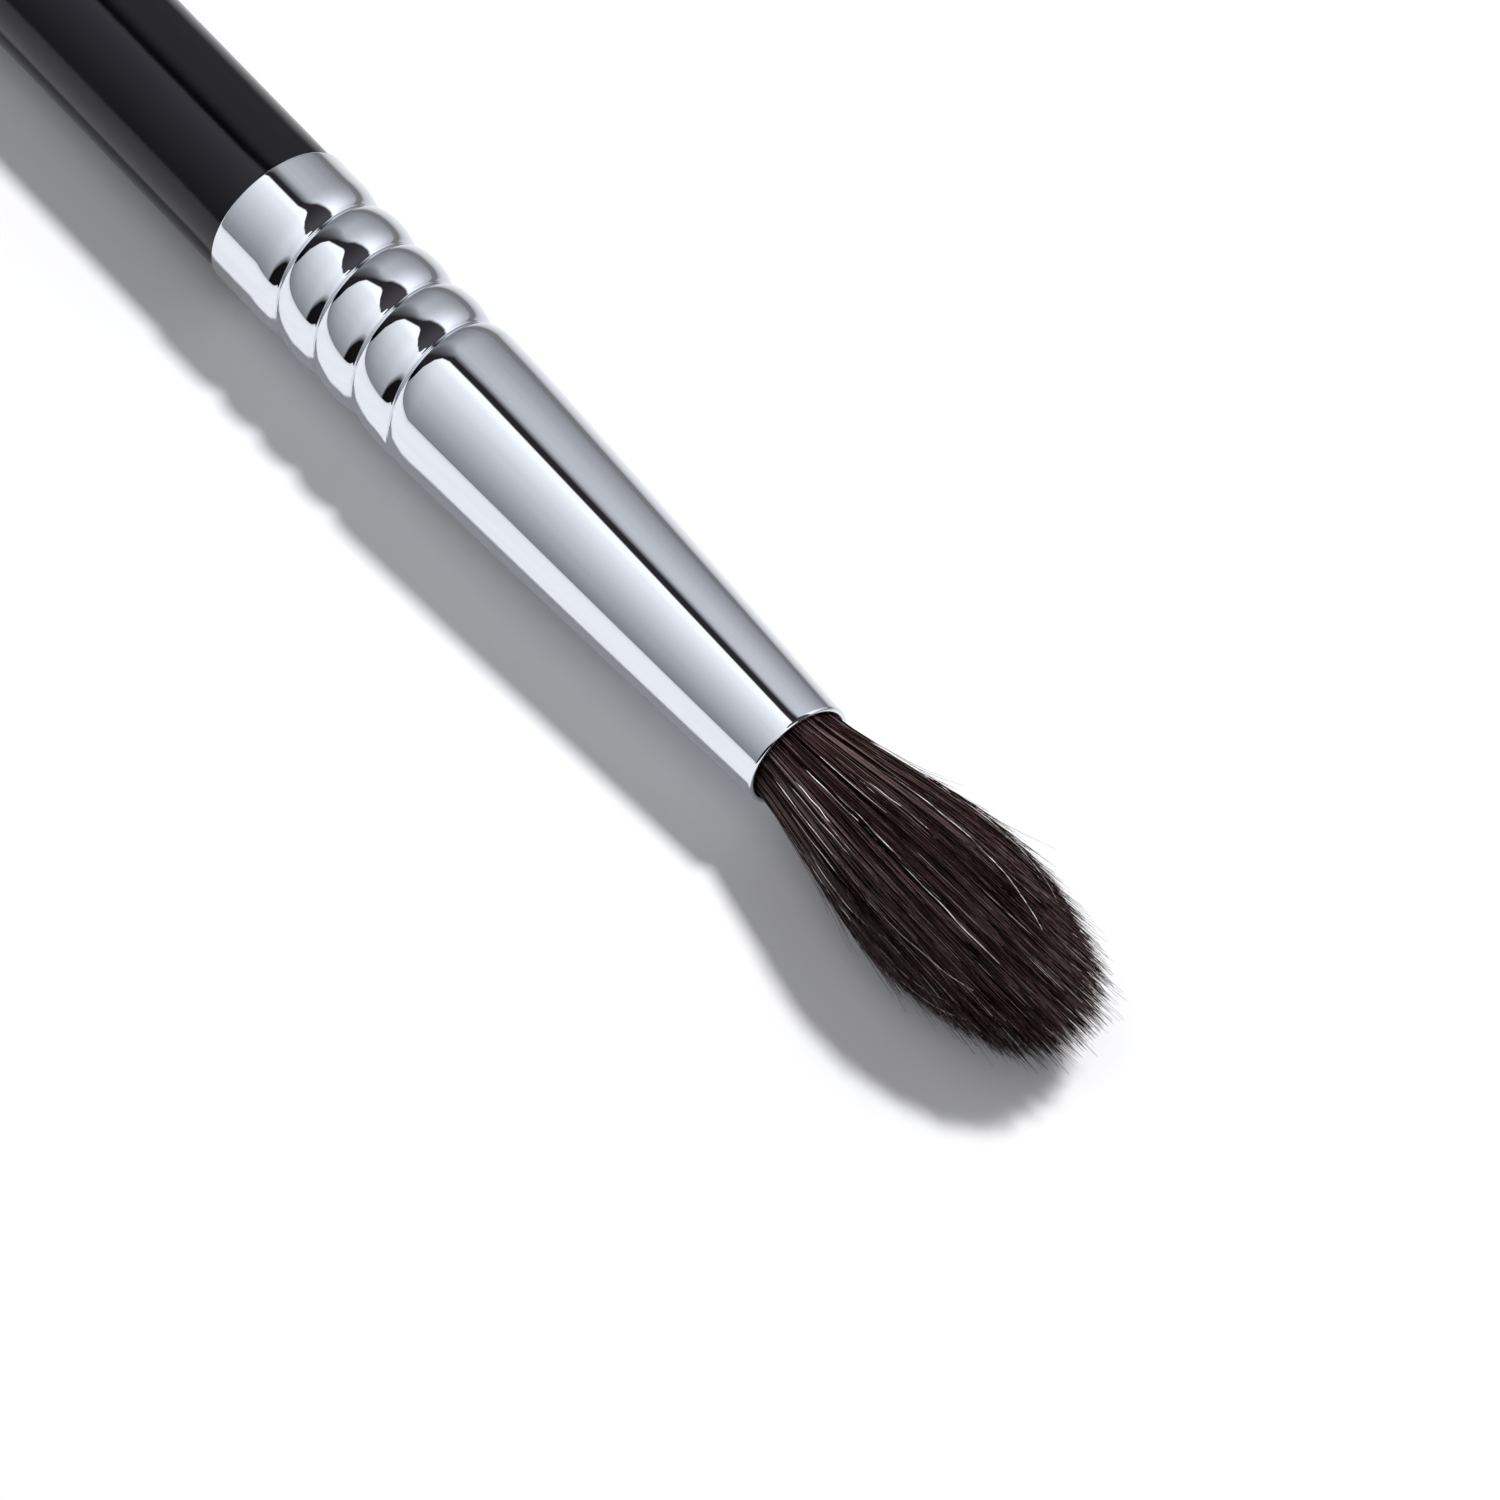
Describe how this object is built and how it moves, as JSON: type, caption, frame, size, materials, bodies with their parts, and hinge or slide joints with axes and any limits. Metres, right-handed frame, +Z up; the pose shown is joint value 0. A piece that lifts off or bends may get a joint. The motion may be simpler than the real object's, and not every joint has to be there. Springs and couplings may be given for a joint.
{
  "type": "eyeshadow brush",
  "caption": "Slim lacquered handle in a long tapering chrome ferrule with a rolled spiral groove, holding a small domed tuft of soft dark hair for laying on eye colour.",
  "frame": {"origin": "on the resting plane, under the middle of the brush's length", "axes": "+X along the brush from the handle's tail to the tuft's tip, +Z up, Y level across the brush"},
  "size_m": [0.1748, 0.0082, 0.0083],
  "materials": {
    "lacquered_wood": "black high-gloss lacquer",
    "bright_chrome": "mirror bright plating",
    "dark_hair": "soft fine straight hair",
    "thread": "waxed thread",
    "resin": "cast clear amber resin",
    "glue": "set adhesive"
  },
  "bodies": {
    "root": {"handle": "lacquered_wood", "ferrule": "bright_chrome", "hair_tuft": "dark_hair", "tie_thread": "thread", "root_resin": "resin", "tenon_glue": "glue"}
  },
  "joints": []
}
